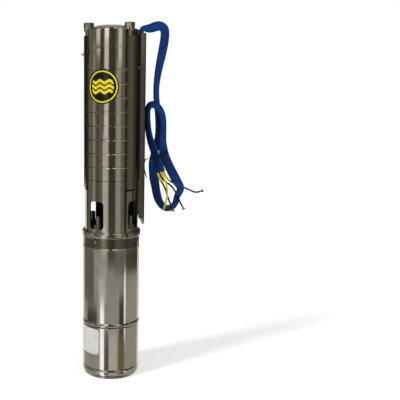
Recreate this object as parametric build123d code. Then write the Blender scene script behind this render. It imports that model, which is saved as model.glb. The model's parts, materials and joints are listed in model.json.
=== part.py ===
from build123d import *
import math
import os

# A four inch borehole submersible pump: canned motor below, suction interconnector with windows,
# pressed stage chambers held by straps, discharge head with a check valve on top.
# Millimetres. The pump's axis is Z, and the origin is the middle of the base's underside.

# Clearances
slip_gap = 0.1          # a piece that slips into another one of the same body
running_gap = 0.05      # a shaft in its bush
wear_gap = 0.3          # an impeller's eye in its wear ring
skin_gap = 0.15         # a strap or guard lying on the chambers
hole_gap = 0.5          # an open hole round a stud or plug
overlap = 1.0           # how far a cut or a joined piece runs past the face it meets

# Motor shells
motor_radius = 48.0
shell_wall = 1.5
edge_break = 0.5
base_height = 16.0
base_floor = 5.0
base_edge = 3.5
base_inset = 1.0        # the pan below the base's bead is this much smaller than the shells
base_vent_radius = 2.0
base_vent_count = 3
bead_stand = 1.0
bead_land = 0.6
lower_shell_length = 73.0
joint_ring_height = 7.5
stator_shell_length = 128.0

# Motor top bell and its fixing to the pump end
bell_height = 16.4
bell_inset = 0.5
bell_plate = 20.4
bell_skirt = 14.0
bell_skirt_wall = 3.4
bell_hub_radius = 17.0
bell_hub_drop = 14.0
pilot_inset = 4.35
pilot_height = 3.0
stud_circle_inset = 9.9
stud_radius = 3.97
stud_depth = 14.4
stud_stand = 36.1
motor_nut_flats = 12.7
motor_nut_height = 6.8
window_count = 4
screw_pocket_radius = 5.5
screw_pocket_depth = 3.0
screw_pocket_drop = 6.4
bell_screw_radius = 4.0
bell_screw_head = 2.5
bell_screw_shank_radius = 2.5
bell_screw_shank = 1.8

# Motor inside
shaft_radius = 10.0
bush_wall = 3.5
bush_length = 20.0
bush_rise = 2.0         # the upper bush starts this far above its hub's end
housing_rim_rise = 6.0  # the lower housing's rim above its web
housing_wall = 2.4
housing_lip = 2.0
diaphragm_thickness = 3.0
diaphragm_clamp = 6.0
diaphragm_depth = 12.0
diaphragm_skin = 1.5
diaphragm_taper = 8.0
diaphragm_rim = 2.0
cap_spigot = 8.0
thrust_plate_rise = 23.0
thrust_plate_thickness = 8.0
thrust_pad_thickness = 6.0
thrust_pad_count = 6
thrust_pad_slot = 4.0   # degrees from a pad's side to the middle of the oil slot
thrust_pad_inset = 3.0
thrust_pad_outset = 1.0
thrust_disc_thickness = 6.0
thrust_radius = 24.0
housing_stand = 3.0     # how far the lower housing reaches into the upper shell
housing_web = 8.0
housing_hub_radius = 18.0
stator_rise = 13.0
stator_head_room = 25.0
air_gap = 0.5
rotor_radius = 22.0
slot_count = 12
slot_width = 4.0
slot_depth = 14.0
coil_inner_stand = 4.0  # from the stator's bore to the coil heads
coil_outer_inset = 4.4  # from the stator's outside to the coil heads
coil_side_stand = 3.0
coil_height = 8.5
rotor_end_ring = 4.0
rotor_end_inset = 0.7
rotor_end_bore = 4.0
seal_height = 10.0
seal_rise = 1.0
seal_shoulder = 6.0
seal_lip = 1.2
seal_hole_gap = 1.0
slinger_radius = 22.0
slinger_lip = 1.6
slinger_height = 4.0
slinger_rise = 0.6
slinger_edge = 1.0
slinger_hub = 4.0
spline_teeth = 14
spline_radius = 7.94
spline_depth = 1.1
spline_overlap = 0.02
shaft_stand = 38.1

# Lead plug
plug_radius = 7.0
plug_circle_inset = 11.1
plug_drop = 26.0
plug_boot_height = 8.0
plug_boot_rise = 2.0
plug_boot_wall = 1.5    # the boot's wall on the lead's flat faces
plug_boot_side_wall = 1.0

# Suction interconnector
collar_stand = 1.3
collar_height = 9.9
collar_round = 1.5
suction_height = 95.1
suction_wall = 2.5
suction_floor_rise = 15.1
suction_bore_radius = 24.0
window_width = 27.0
window_height = 46.0
window_round = 6.0
window_cut_depth = 6.0  # the windows' cut starts this far inside the sleeve's wall
strap_slot_gap = 0.4
lead_slot_low = 6.0     # the lead's slot starts this far above its lower bend
lead_slot_high = 2.0

# Stage chambers and impellers
bowl_inset = 3.4        # the pump end is this much slimmer than the motor
bowl_wall = 1.2
stage_pitch = 22.4
stage_count = 8
plate_thickness = 1.2
spigot_depth = 1.0
wear_ring_radius = 19.0
wear_ring_height = 2.0
eye_radius = 15.0
eye_wall = 1.4
pump_shaft_radius = 7.0
hub_wall = 2.45
impeller_gap = 6.9      # from an impeller to the chamber's wall
shroud_thickness = 1.0
impeller_channel = 6.4
impeller_rise = 1.6
vane_thickness = 1.2
vane_count = 6
vane_sweep = 62.0       # degrees that a vane turns back from its root to its tip
vane_bow = 0.36         # share of the sweep that is reached halfway out
vane_root = 1.5
vane_tip_inset = 0.3
vane_bite = 0.5         # how far vanes run into their shrouds
eye_drop = 0.8          # how far the eye's collar hangs into the wear ring
diaphragm_plate_rise = 11.2
diaphragm_plate_gap = 5.9
return_vane_count = 6
return_vane_sweep = -38.0
return_vane_root = 3.0
return_vane_bite = 0.4

# Coupling and pump shaft
coupling_radius = 14.5
coupling_length = 43.0
coupling_rise = 16.1
coupling_edge = 1.0
shaft_gap = 3.0
shaft_end_gap = 0.5
impeller_nut_flats = 19.0
impeller_nut_height = 5.0

# Valve chamber and discharge head
valve_chamber_height = 32.8
valve_chamber_wall = 2.2
spider_rise = 6.0
spider_start = 45.0     # angle of the first rib
spider_bite = 0.5
chamber_lip = 1.5
chamber_lip_low = 1.0
chamber_lip_high = 2.0
spider_rib_height = 10.0
spider_rib_width = 3.0
spider_rib_count = 4
top_bush_length = 14.0
top_bush_wall = 3.0
spider_hub_wall = 3.0
seat_plate_rise = 21.0
seat_plate_thickness = 3.0
seat_ring_height = 3.0
seat_land = 4.0         # the disc covers the seat's bore by this much
seat_ring_margin = 1.0
valve_disc_gap = 5.0    # from the disc to the head's passage
valve_disc_edge = 2.0
valve_disc_taper = 3.0
valve_disc_thickness = 4.0
valve_stem_radius = 3.5
valve_stem_length = 15.0
valve_lift = 9.0
valve_stop_gap = 1.3
head_inset = 0.4
head_side_height = 32.0
head_round = 3.0
dome_radius = 118.0
outlet_radius = 22.42   # wall of the G 1 1/2 thread at its minor diameter
outlet_thread_length = 22.0
outlet_break = 1.0
passage_wall = 3.5      # metal between the passage and the strap pockets
head_spigot = 3.0
throat_flare = 6.0
throat_rise = 4.0
guide_hub_radius = 7.0
guide_height = 6.0
guide_rib_width = 3.0
guide_rib_count = 3
guide_rib_low = 0.5
guide_rib_drop = 2.0
guide_rib_bite = 1.5
lug_angle = -155.5
lug_stand = 8.0
lug_rise = 25.8
lug_height = 12.0
lug_peak = 0.45         # share of the ear's height at its point
lug_thickness = 3.0

# Straps
strap_count = 3
strap_angle = -10.2
strap_width = 21.0
strap_thickness = 1.5
strap_foot_rise = 81.1
strap_foot_reach = 4.7
strap_foot_side_gap = 0.5
strap_top_drop = 12.8
strap_stud_radius = 5.0
strap_stud_inset = 5.4
strap_stud_tip = 0.2
strap_nut_flats = 15.0
strap_nut_height = 8.0
strap_nut_edge = 0.8
strap_block_width = 12.0
strap_block_height = 13.0
strap_block_inset = 11.1
strap_block_drop = 29.3
strap_bite = 0.5
pocket_side_gap = 2.5
pocket_inner_gap = 2.0
pocket_floor_gap = 2.0
ledge_thickness = 5.5
nut_seat_rise = 33.8
nut_pad_radius = 7.8
nut_recess_gap = 0.3

# Cable guard
guard_angle = 48.8
guard_half_span = 43.0
guard_sheet = 1.0
guard_width = 24.0
guard_stand = 11.4
guard_foot_bend = 3.0
guard_crown_bend = 2.5
guard_foot_rise = 29.1
guard_tongue = 14.0
guard_tongue_depth = 5.0
guard_top_drop = 6.2
guard_flange_top_drop = 2.8
guard_screw_radius = 3.0
guard_screw_head = 1.6
guard_screw_shank_radius = 1.6
guard_screw_bite = 3.0
guard_screw_end_gap = 0.5
guard_screw_lift = 0.05
guard_hole_gap = 0.3
guard_low_screw = (29.0, 3.8)     # degrees from the guard's middle, height above the last chamber
guard_high_screw = (38.0, 26.0)   # degrees from the guard's middle, height above the valve chamber

# Lead
lead_width = 16.0
lead_thickness = 6.0
lead_channel_stand = 3.9
lead_edge_flat = 0.2
lead_bend = 12.0
lead_rise = 38.0
lead_climb = 24.0
lead_slot_gap = 1.0
lead_end_drop = 5.8
free_lead_radius = 5.0
core_radius = 1.5
hank_thickness = 22.0
hank_setback = 3.0      # the hank's front is this far behind the cores
jacket_front = 3.0      # the cut end's front stands this far in front of the cores
jacket_bite = 1.0
view_angle = -55.5      # the hank hangs in the upright plane that faces this way

# Levels, from the base up
lower_shell_low = base_height
joint_ring_low = lower_shell_low + lower_shell_length
stator_shell_low = joint_ring_low + joint_ring_height
stator_shell_high = stator_shell_low + stator_shell_length
motor_face = stator_shell_high + bell_height
suction_floor = motor_face + suction_floor_rise
first_stage = motor_face + suction_height
valve_chamber_low = first_stage + stage_count * stage_pitch
head_low = valve_chamber_low + valve_chamber_height
nut_seat = head_low + nut_seat_rise
guard_top = nut_seat - guard_top_drop

# Radii that follow from the motor's
shell_bore = motor_radius - shell_wall
insert_radius = shell_bore - slip_gap
pilot_radius = motor_radius - pilot_inset
stud_circle_radius = motor_radius - stud_circle_inset
coil_outer_radius = insert_radius - coil_outer_inset
coil_inner_radius = rotor_radius + air_gap + coil_inner_stand
bowl_radius = motor_radius - bowl_inset
bowl_bore = bowl_radius - bowl_wall
impeller_radius = bowl_bore - impeller_gap
diaphragm_plate_radius = bowl_bore - diaphragm_plate_gap
plug_circle_radius = bowl_radius - plug_circle_inset
lug_reach = bowl_radius + lug_stand
head_radius = bowl_radius - head_inset
strap_stud_circle = bowl_radius - strap_stud_inset
strap_block_inner = bowl_radius - strap_block_inset
head_passage_radius = strap_block_inner - pocket_inner_gap - passage_wall
valve_disc_radius = head_passage_radius - valve_disc_gap
seat_bore_radius = valve_disc_radius - seat_land
seat_ring_radius = valve_disc_radius + seat_ring_margin
lead_channel_radius = bowl_radius + lead_channel_stand
guard_reach = bowl_radius + guard_stand
hub_radius = pump_shaft_radius + running_gap + hub_wall
bush_outer = shaft_radius + running_gap + bush_wall
bush_seat = bush_outer + running_gap
skin_radius = bowl_radius + skin_gap


def turned(*profile, rounds=()):
    """A body turned about the axis from (radius, height) corners, some of them rounded."""
    face = make_face(Polyline(*[(r, 0, z) for r, z in profile], close=True).edges())
    for radius, height, size in rounds:
        corner = face.vertices().sort_by_distance((radius, 0, height))[0]
        face = fillet(corner, size)
    return revolve(face, Axis.Z)


def ring(outer, inner, low, high):
    return turned((inner, low), (outer, low), (outer, high), (inner, high))


def disc(radius, low, high):
    return turned((0, low), (radius, low), (radius, high), (0, high))


def sector(inner, outer, half_angle, low, high, centre=0.0):
    """A piece of ring, half_angle degrees to each side of centre."""
    corners = [(inner, 0, low), (outer, 0, low), (outer, 0, high), (inner, 0, high)]
    face = make_face(Polyline(*corners, close=True).edges())
    return Rot(0, 0, centre - half_angle) * revolve(face, Axis.Z, 2 * half_angle)


def post(radius, low, high, reach=0.0, angle=0.0):
    """An upright round rod whose axis stands reach from the pump's axis."""
    rod = Cylinder(radius, high - low, align=(Align.CENTER, Align.CENTER, Align.MIN))
    return Rot(0, 0, angle) * Pos(reach, 0, low) * rod


def spoke(radius, inner, outer, height, angle):
    """A round rod that lies along a radius of the pump."""
    rod = Cylinder(radius, outer - inner, align=(Align.CENTER, Align.CENTER, Align.MIN))
    return Rot(0, 0, angle) * Pos(inner, 0, height) * Rot(0, 90, 0) * rod


def block(inner, outer, width, low, high, angle=0.0):
    """A box from one radius to another, width across and centred on the radius."""
    box = Box(outer - inner, width, high - low, align=(Align.MIN, Align.CENTER, Align.MIN))
    return Rot(0, 0, angle) * Pos(inner, 0, low) * box


def hexagon(flats, low, high, bore, reach=0.0, angle=0.0):
    outline = RegularPolygon(flats / 2, 6, major_radius=False, rotation=30) - Circle(bore)
    return Rot(0, 0, angle) * Pos(reach, 0, low) * extrude(outline, high - low)


def spread(shape, count, start=0.0):
    """Equal copies of a shape, spaced evenly about the axis."""
    return [Rot(0, 0, start + 360 * i / count) * shape for i in range(count)]


def beaded(low, high, land, bore, stand):
    """The corners and crown of a rolled bead: flat lands and an arc that stands out between them."""
    crown = ThreePointArc((land, 0, low), (land + stand, 0, (low + high) / 2), (land, 0, high))
    back = Polyline((land, 0, high), (bore, 0, high), (bore, 0, low), (land, 0, low))
    return revolve(make_face(crown.edges() + back.edges()), Axis.Z)


def curved_vane(inner, outer, sweep_back, low, high):
    """A plate that curves from the inner radius to the outer one, ending sweep_back degrees round."""
    half, end = math.radians(sweep_back * vane_bow), math.radians(sweep_back)
    middle = (inner + outer) / 2
    line = ThreePointArc(
        (inner, 0),
        (middle * math.cos(half), middle * math.sin(half)),
        (outer * math.cos(end), outer * math.sin(end)),
    )
    return Pos(0, 0, low) * extrude(trace(line, vane_thickness), high - low)


# Motor casing

def base_cap():
    pan = motor_radius - base_inset
    bead_low = base_edge + edge_break
    bead_high = base_height - edge_break
    hollow = insert_radius - diaphragm_clamp
    body = turned(
        (0, 0), (pan, 0), (pan, base_height), (insert_radius, base_height),
        (insert_radius, base_height + cap_spigot), (hollow, base_height + cap_spigot),
        (hollow, base_floor), (0, base_floor),
        rounds=[(pan, 0, base_edge)],
    )
    body += beaded(bead_low, bead_high, motor_radius - bead_land, pan - overlap, bead_stand)
    vent = post(base_vent_radius, -overlap, base_floor + overlap, reach=pan / 2)
    return body - spread(vent, base_vent_count)


def shell(low, high):
    """A drawn tube with its two outer edges broken."""
    return turned(
        (shell_bore, low), (motor_radius - edge_break, low), (motor_radius, low + edge_break),
        (motor_radius, high - edge_break), (motor_radius - edge_break, high), (shell_bore, high),
    )


def joint_ring():
    land = motor_radius - bead_land
    return beaded(joint_ring_low, stator_shell_low, land, shell_bore, bead_land + bead_stand)


def diaphragm():
    """A rubber cup whose rim is clamped between the base cap and the bearing housing."""
    rim_low = base_height + cap_spigot
    bag = insert_radius - diaphragm_clamp - slip_gap
    inner = bag - diaphragm_skin
    bottom = rim_low - diaphragm_depth
    return turned(
        (0, bottom), (bag - diaphragm_taper, bottom), (bag, rim_low - diaphragm_rim), (bag, rim_low),
        (insert_radius - slip_gap, rim_low), (insert_radius - slip_gap, rim_low + diaphragm_thickness),
        (inner, rim_low + diaphragm_thickness), (inner, rim_low - diaphragm_rim / 2),
        (inner + diaphragm_rim / 2 - diaphragm_taper, bottom + diaphragm_skin),
        (0, bottom + diaphragm_skin),
    )


housing_low = base_height + cap_spigot + diaphragm_thickness
thrust_plate_low = housing_low + thrust_plate_rise
pads_low = thrust_plate_low + thrust_plate_thickness
shaft_low = pads_low + thrust_pad_thickness
housing_high = stator_shell_low + housing_stand
web_low = housing_high - housing_rim_rise - housing_web
stator_low = stator_shell_low + stator_rise
stator_high = stator_shell_high - stator_head_room
bell_hub_low = motor_face - bell_plate - bell_hub_drop
upper_bush_low = bell_hub_low + bush_rise


def lower_bearing_housing():
    """A cup that hangs in the shells: skirt, web with the bearing hub, and a lip for the thrust plate."""
    bore = insert_radius - housing_wall
    hub_low = web_low - bush_length + housing_web
    return turned(
        (bore - housing_lip, housing_low), (insert_radius, housing_low), (insert_radius, housing_high),
        (bore, housing_high), (bore, web_low + housing_web), (bush_seat, web_low + housing_web),
        (bush_seat, hub_low), (housing_hub_radius, hub_low), (housing_hub_radius, web_low),
        (bore, web_low), (bore, thrust_plate_low), (bore - housing_lip, thrust_plate_low),
    )


def thrust_plate():
    rim = insert_radius - housing_wall - slip_gap
    return disc(rim, thrust_plate_low, pads_low)


def thrust_pads():
    half = 180 / thrust_pad_count - thrust_pad_slot
    inner, outer = shaft_radius + thrust_pad_inset, thrust_radius - thrust_pad_outset
    pad = sector(inner, outer, half, pads_low, shaft_low)
    return spread(pad, thrust_pad_count)


def motor_bearings():
    lower_low = web_low + housing_web - bush_length
    return [
        ring(bush_outer, shaft_radius + running_gap, low, low + bush_length)
        for low in (lower_low, upper_bush_low)
    ]


def stator_core():
    """The lamination stack, with its winding slots open to the bore."""
    bore = rotor_radius + air_gap
    body = ring(insert_radius, bore, stator_low, stator_high)
    slot = block(
        bore - overlap, bore + slot_depth, slot_width, stator_low - overlap, stator_high + overlap
    )
    return body - spread(slot, slot_count)


def stator_windings():
    """The two coil heads, joined through the slots by the coil sides."""
    bore = rotor_radius + air_gap
    side = block(
        bore + coil_side_stand, bore + slot_depth - slip_gap, slot_width - 2 * slip_gap,
        stator_low - overlap, stator_high + overlap,
    )
    coils = spread(side, slot_count)
    for low in (stator_low - slip_gap - coil_height, stator_high + slip_gap):
        coils.append(ring(coil_outer_radius, coil_inner_radius, low, low + coil_height))
    return coils[0].fuse(*coils[1:])


def motor_top_bell():
    """The cast top bracket: pilot and stud holes above, skirt and bearing hub inside the shell."""
    outer = motor_radius - bell_inset
    plate_low = motor_face - bell_plate
    skirt_bore = insert_radius - bell_skirt_wall
    pilot_top = motor_face + pilot_height
    seal_top = upper_bush_low + bush_length + seal_rise + seal_height + seal_rise
    body = turned(
        (bush_seat, bell_hub_low), (bell_hub_radius, bell_hub_low), (bell_hub_radius, plate_low),
        (skirt_bore, plate_low), (skirt_bore, stator_shell_high - bell_skirt),
        (insert_radius, stator_shell_high - bell_skirt), (insert_radius, stator_shell_high),
        (outer, stator_shell_high), (outer, motor_face), (pilot_radius, motor_face),
        (pilot_radius, pilot_top), (shaft_radius + seal_hole_gap, pilot_top),
        (shaft_radius + seal_hole_gap, seal_top),
        (bush_seat, seal_top),
    )
    stud_hole = post(
        stud_radius + slip_gap, motor_face - stud_depth, pilot_top + overlap, stud_circle_radius
    )
    pocket = spoke(
        screw_pocket_radius, outer - screw_pocket_depth, outer + overlap,
        motor_face - screw_pocket_drop, 0,
    )
    shank_hole = spoke(
        bell_screw_shank_radius + slip_gap, outer - screw_pocket_depth - bell_screw_shank,
        outer, motor_face - screw_pocket_drop, 0,
    )
    body -= spread(stud_hole, window_count)
    body -= spread(pocket, window_count)
    body -= spread(shank_hole, window_count)
    plug_hole = post(
        plug_radius + slip_gap, plate_low - overlap, pilot_top + overlap, plug_circle_radius, guard_angle
    )
    return body - plug_hole


def bell_screws():
    outer = motor_radius - bell_inset
    height = motor_face - screw_pocket_drop
    seat = outer - screw_pocket_depth
    screw = spoke(bell_screw_radius, seat, seat + bell_screw_head, height, 0)
    screw += spoke(bell_screw_shank_radius, seat - bell_screw_shank, seat + overlap, height, 0)
    return spread(screw, window_count)


def motor_studs():
    low = motor_face - stud_depth
    stud = post(stud_radius, low, motor_face + stud_stand, stud_circle_radius)
    return spread(stud, window_count)


def motor_nuts():
    nut = hexagon(
        motor_nut_flats, suction_floor, suction_floor + motor_nut_height,
        stud_radius + running_gap, stud_circle_radius,
    )
    return spread(nut, window_count)


def shaft_seal():
    low = upper_bush_low + bush_length + seal_rise
    return turned(
        (shaft_radius + running_gap, low), (bush_outer, low), (bush_outer, low + seal_shoulder),
        (bush_outer - seal_lip, low + seal_height), (shaft_radius + running_gap, low + seal_height),
    )


def lead_plug():
    """A round plug through the bell with a flat moulded boot on top for the lead."""
    boot_low = suction_floor + plug_boot_rise
    body = post(plug_radius, motor_face - plug_drop, boot_low, plug_circle_radius)
    boot = Box(
        lead_thickness + 2 * plug_boot_wall, lead_width + 2 * plug_boot_side_wall, plug_boot_height,
        align=(Align.CENTER, Align.CENTER, Align.MIN),
    )
    return Rot(0, 0, guard_angle) * (body + Pos(plug_circle_radius, 0, boot_low) * boot)


# Motor rotor

def spline_outline(grow):
    """A shaft section with straight grooves, or the matching bore when grow is a clearance."""
    outline = Circle(spline_radius + grow)
    width = math.pi * spline_radius / spline_teeth - 2 * grow
    groove = Pos(spline_radius - spline_depth / 2 + grow, 0) * Rectangle(spline_depth + spline_overlap, width)
    return outline - spread(groove, spline_teeth)


def motor_shaft():
    step = motor_face + pilot_height + slinger_rise + slinger_height
    body = disc(shaft_radius, shaft_low, step)
    end = Pos(0, 0, step) * extrude(spline_outline(0), motor_face + shaft_stand - step)
    return body + end


def thrust_disc():
    return ring(thrust_radius, shaft_radius + running_gap, shaft_low, shaft_low + thrust_disc_thickness)


def rotor_core():
    core = ring(rotor_radius, shaft_radius + running_gap, stator_low, stator_high)
    core += ring(
        rotor_radius - rotor_end_inset, shaft_radius + rotor_end_bore,
        stator_low - rotor_end_ring, stator_high + rotor_end_ring,
    )
    return core


def sand_slinger():
    low = motor_face + pilot_height + slinger_rise
    return turned(
        (shaft_radius + running_gap, low), (slinger_radius - slinger_lip, low + slinger_edge),
        (slinger_radius, low), (slinger_radius, low + slinger_height - slinger_edge),
        (shaft_radius + slinger_hub, low + slinger_height),
        (shaft_radius + running_gap, low + slinger_height),
    )


# Suction interconnector and coupling

def strap_half_angle(side_gap=0.0):
    return math.degrees(math.asin((strap_width / 2 + side_gap) / skin_radius))


def lead_turn_levels():
    """Heights where the lead leaves the plug's line and where it reaches the guard's channel."""
    start = suction_floor + plug_boot_rise + plug_boot_height + lead_rise
    return start, start + lead_climb


def suction_interconnector():
    """A cast sleeve with a collar, a thick floor, four windows, slots for straps and lead."""
    bore = bowl_radius - suction_wall
    recess_top = motor_face + pilot_height + slip_gap
    recess = pilot_radius + slip_gap
    collar = motor_radius + collar_stand
    spigot_low = first_stage - spigot_depth - slip_gap
    collar_high = motor_face + collar_height
    body = turned(
        (recess, motor_face), (collar, motor_face), (collar, collar_high), (bowl_radius, collar_high),
        (bowl_radius, first_stage), (bowl_bore, first_stage), (bowl_bore, spigot_low),
        (bore, spigot_low), (bore, suction_floor), (suction_bore_radius, suction_floor),
        (suction_bore_radius, recess_top), (recess, recess_top),
        rounds=[(collar, motor_face, collar_round), (collar, collar_high, collar_round)],
    )
    middle = suction_floor + window_height / 2
    opening = Pos(bore - window_cut_depth, 0, middle) * Rot(0, 90, 0) * extrude(
        RectangleRounded(window_height, window_width, window_round), suction_wall + 2 * window_cut_depth
    )
    stud_hole = post(stud_radius + hole_gap, motor_face, suction_floor + overlap, stud_circle_radius)
    body -= spread(opening, window_count)
    body -= spread(stud_hole, window_count)
    body -= post(
        plug_radius + hole_gap, motor_face, suction_floor + overlap, plug_circle_radius, guard_angle
    )
    slot_low = motor_face + strap_foot_rise - strap_slot_gap
    slot_high = motor_face + strap_foot_rise + strap_thickness
    slot = sector(bore - overlap, bowl_radius + overlap, strap_half_angle(), slot_low, slot_high)
    body -= spread(slot, strap_count, strap_angle)
    turn_low, turn_high = lead_turn_levels()
    lead_slot = block(
        bore - window_cut_depth, bowl_radius + overlap, lead_width + 2 * lead_slot_gap,
        turn_low + lead_slot_low, turn_high + lead_slot_high, guard_angle,
    )
    return body - lead_slot


def coupling():
    """A sleeve with a splined socket for the motor shaft and a plain one for the pump shaft."""
    low = motor_face + coupling_rise
    shaft_end = motor_face + shaft_stand
    sleeve = disc(coupling_radius, low, low + coupling_length)
    sleeve = chamfer(sleeve.edges().filter_by(GeomType.CIRCLE), coupling_edge)
    socket = Pos(0, 0, low) * extrude(spline_outline(running_gap), shaft_end - low)
    upper = post(pump_shaft_radius + running_gap, shaft_end, low + coupling_length)
    return sleeve - socket - upper


def pump_shaft():
    low = motor_face + shaft_stand + shaft_gap
    high = valve_chamber_low + seat_plate_rise - shaft_end_gap
    return disc(pump_shaft_radius, low, high)


# Stages

def stage_bowl(index):
    """A pressed chamber: wall, floor plate with its eye, and a diaphragm on curved return vanes."""
    low = first_stage + index * stage_pitch
    high = low + stage_pitch
    plate_low = low - spigot_depth
    plate_high = plate_low + plate_thickness
    spigot = bowl_bore - slip_gap
    body = turned(
        (wear_ring_radius, plate_low), (spigot, plate_low), (spigot, low),
        (bowl_radius - edge_break, low), (bowl_radius, low + edge_break),
        (bowl_radius, high - edge_break), (bowl_radius - edge_break, high), (bowl_bore, high),
        (bowl_bore, plate_high), (wear_ring_radius, plate_high),
    )
    vane_low = low + diaphragm_plate_rise
    vane_high = high - spigot_depth
    body += ring(diaphragm_plate_radius, hub_radius + wear_gap, vane_low, vane_low + shroud_thickness)
    vane = curved_vane(
        hub_radius + return_vane_root, bowl_bore + return_vane_bite, return_vane_sweep, vane_low, vane_high
    )
    return body + spread(vane, return_vane_count)


def wear_rings():
    inner = eye_radius + eye_wall + wear_gap
    low = first_stage - spigot_depth
    rings = []
    for index in range(stage_count):
        step = index * stage_pitch
        rings.append(ring(wear_ring_radius, inner, low + step, low + wear_ring_height + step))
    return rings


def impeller(index):
    """A closed impeller: hub, hub shroud, eye shroud with its collar, and backward curved vanes."""
    low = first_stage + index * stage_pitch
    hub_low = low + plate_thickness - spigot_depth
    front_low = low + impeller_rise
    vane_low = front_low + shroud_thickness
    vane_high = vane_low + impeller_channel
    body = turned(
        (pump_shaft_radius + running_gap, hub_low), (hub_radius, hub_low), (hub_radius, vane_high),
        (impeller_radius, vane_high), (impeller_radius, vane_high + shroud_thickness),
        (hub_radius, vane_high + shroud_thickness), (hub_radius, hub_low + stage_pitch),
        (pump_shaft_radius + running_gap, hub_low + stage_pitch),
    )
    front = turned(
        (eye_radius, low - eye_drop), (eye_radius + eye_wall, low - eye_drop),
        (eye_radius + eye_wall, front_low), (impeller_radius, front_low),
        (impeller_radius, vane_low), (eye_radius, vane_low),
    )
    vane = curved_vane(
        eye_radius + vane_root, impeller_radius - vane_tip_inset, vane_sweep,
        front_low + vane_bite, vane_high + vane_bite,
    )
    return body + front + spread(vane, vane_count)


def impeller_nut():
    low = valve_chamber_low + plate_thickness - spigot_depth
    return hexagon(impeller_nut_flats, low, low + impeller_nut_height, pump_shaft_radius + running_gap)


# Valve chamber, discharge head and check valve

def spider(hub, bore, hub_low, hub_high, rib_low, rib_high, rib_count, rib_width, reach):
    """A hub held by flat ribs that run out to a wall."""
    rib = block(hub - overlap, reach, rib_width, rib_low, rib_high)
    return ring(hub, bore, hub_low, hub_high) + spread(rib, rib_count, spider_start)


def valve_chamber():
    bore = bowl_radius - valve_chamber_wall
    low, high = valve_chamber_low, head_low
    plate_low = low + seat_plate_rise
    plate_high = plate_low + seat_plate_thickness
    spigot = bowl_bore - slip_gap
    body = turned(
        (bore - chamber_lip, low - spigot_depth), (spigot, low - spigot_depth), (spigot, low),
        (bowl_radius - edge_break, low), (bowl_radius, low + edge_break), (bowl_radius, high),
        (bore, high), (bore, plate_high), (seat_bore_radius, plate_high),
        (seat_bore_radius, plate_low), (bore, plate_low), (bore, low + chamber_lip_high),
        (bore - chamber_lip, low + chamber_lip_low),
    )
    bush_bore = pump_shaft_radius + running_gap + top_bush_wall + running_gap
    body += spider(
        bush_bore + spider_hub_wall, bush_bore, low + spider_rise, low + spider_rise + top_bush_length,
        low + spider_rise, low + spider_rise + spider_rib_height,
        spider_rib_count, spider_rib_width, bore + spider_bite,
    )
    return body + rope_lug()


def rope_lug():
    """A small pointed ear on the chamber's wall."""
    low = valve_chamber_low + lug_rise - lug_height / 2
    wall = bowl_radius - overlap
    corners = [(wall, 0, low), (lug_reach, 0, low + lug_height * lug_peak), (wall, 0, low + lug_height)]
    ear = extrude(make_face(Polyline(*corners, close=True).edges()), lug_thickness / 2, both=True)
    return Rot(0, 0, lug_angle) * ear


def top_bearing():
    inner = pump_shaft_radius + running_gap
    low = valve_chamber_low + spider_rise
    return ring(inner + top_bush_wall, inner, low, low + top_bush_length)


seat_low = valve_chamber_low + seat_plate_rise + seat_plate_thickness
disc_low = seat_low + seat_ring_height
guide_low = disc_low + valve_disc_thickness + valve_lift + valve_stop_gap


def valve_seat():
    return ring(seat_ring_radius, seat_bore_radius, seat_low, disc_low)


def valve_disc():
    """A flat disc with a stem that slides in the head's guide."""
    high = disc_low + valve_disc_thickness
    return turned(
        (0, disc_low), (valve_disc_radius, disc_low), (valve_disc_radius, high - valve_disc_edge),
        (valve_disc_radius - valve_disc_taper, high), (valve_stem_radius, high),
        (valve_stem_radius, high + valve_stem_length), (0, high + valve_stem_length),
    )


def dome_height(radius):
    """Height of the domed top at a radius, from its rim at the head's side."""
    rim = math.sqrt(dome_radius**2 - head_radius**2)
    return head_low + head_side_height + math.sqrt(dome_radius**2 - radius**2) - rim


def head_outline():
    """Half section of the head: spigot, side, domed top, threaded mouth and passage."""
    mouth = outlet_radius + outlet_break
    mouth_top = dome_height(mouth)
    thread_low = mouth_top - outlet_thread_length
    rim_top = dome_height(head_radius)
    halfway = (mouth + head_radius) / 2
    spigot = bowl_radius - valve_chamber_wall - slip_gap
    throat = head_passage_radius + throat_flare
    neck = thread_low - (head_passage_radius - outlet_radius)
    side = Polyline(
        (mouth, 0, mouth_top), (outlet_radius, 0, mouth_top - outlet_break),
        (outlet_radius, 0, thread_low), (head_passage_radius, 0, neck),
        (head_passage_radius, 0, head_low + throat_rise), (throat, 0, head_low - head_spigot),
        (spigot, 0, head_low - head_spigot), (spigot, 0, head_low), (head_radius, 0, head_low),
        (head_radius, 0, rim_top),
    )
    top = ThreePointArc(
        (head_radius, 0, rim_top), (halfway, 0, dome_height(halfway)), (mouth, 0, mouth_top)
    )
    face = make_face(side.edges() + top.edges())
    corner = face.vertices().sort_by_distance((head_radius, 0, rim_top))[0]
    return fillet(corner, head_round)


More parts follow.
